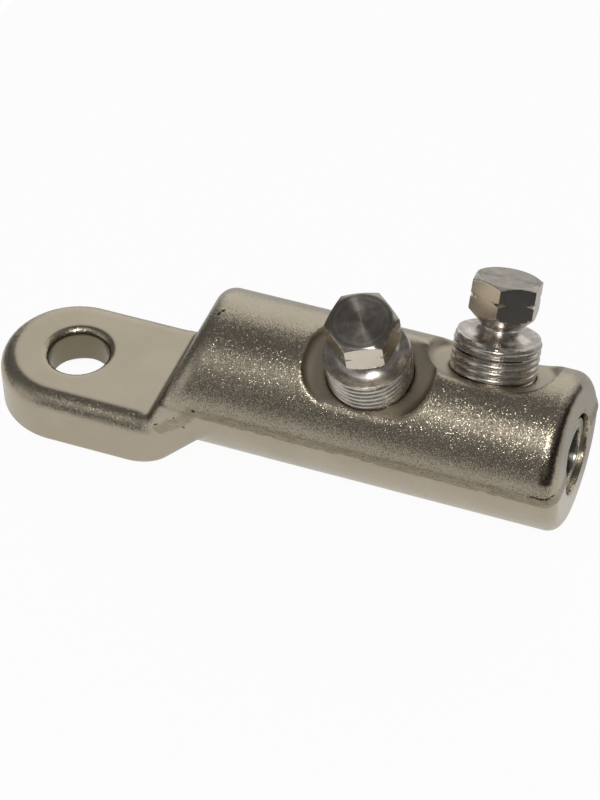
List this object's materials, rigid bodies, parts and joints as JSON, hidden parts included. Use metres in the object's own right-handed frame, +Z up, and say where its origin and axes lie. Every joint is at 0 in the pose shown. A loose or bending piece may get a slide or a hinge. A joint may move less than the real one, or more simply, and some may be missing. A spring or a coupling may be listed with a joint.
{
  "type": "mechanical cable lug",
  "caption": "Forged lug with a flat palm and a thick round barrel, in which screws with snap-off hexagon heads clamp a stripped cable.",
  "frame": {"origin": "centre of the stud hole, on its axis and half way through the palm's thickness", "axes": "+X along the barrel to its mouth, +Y across the palm, +Z up, square to the palm, on the side of the bolts"},
  "size_m": [0.1277, 0.0371, 0.0527],
  "materials": {
    "tinned_forging": "tin-plated forging, dull with bright grains",
    "turned_bolt": "turned, bare",
    "insert_metal": "satin"
  },
  "bodies": {
    "lug": {"lug_body": "tinned_forging"},
    "palm_side_bolt": {"palm_side_shear_bolt": "turned_bolt"},
    "mouth_side_bolt": {"mouth_side_shear_bolt": "turned_bolt"},
    "insert": {"centring_insert": "insert_metal"}
  },
  "joints": [
    {"name": "palm_side_bolt_travel", "type": "slide", "parent": "lug", "child": "palm_side_bolt", "axis": [0, -0.2924, 0.9563], "range_m": [-0.0055, 0.0025]},
    {"name": "mouth_side_bolt_travel", "type": "slide", "parent": "lug", "child": "mouth_side_bolt", "axis": [0, 0.4115, 0.9114], "range_m": [-0.0055, 0.0025]},
    {"name": "insert_pull_out", "type": "slide", "parent": "lug", "child": "insert", "axis": [1, 0, 0], "range_m": [0, 0.058]}
  ]
}
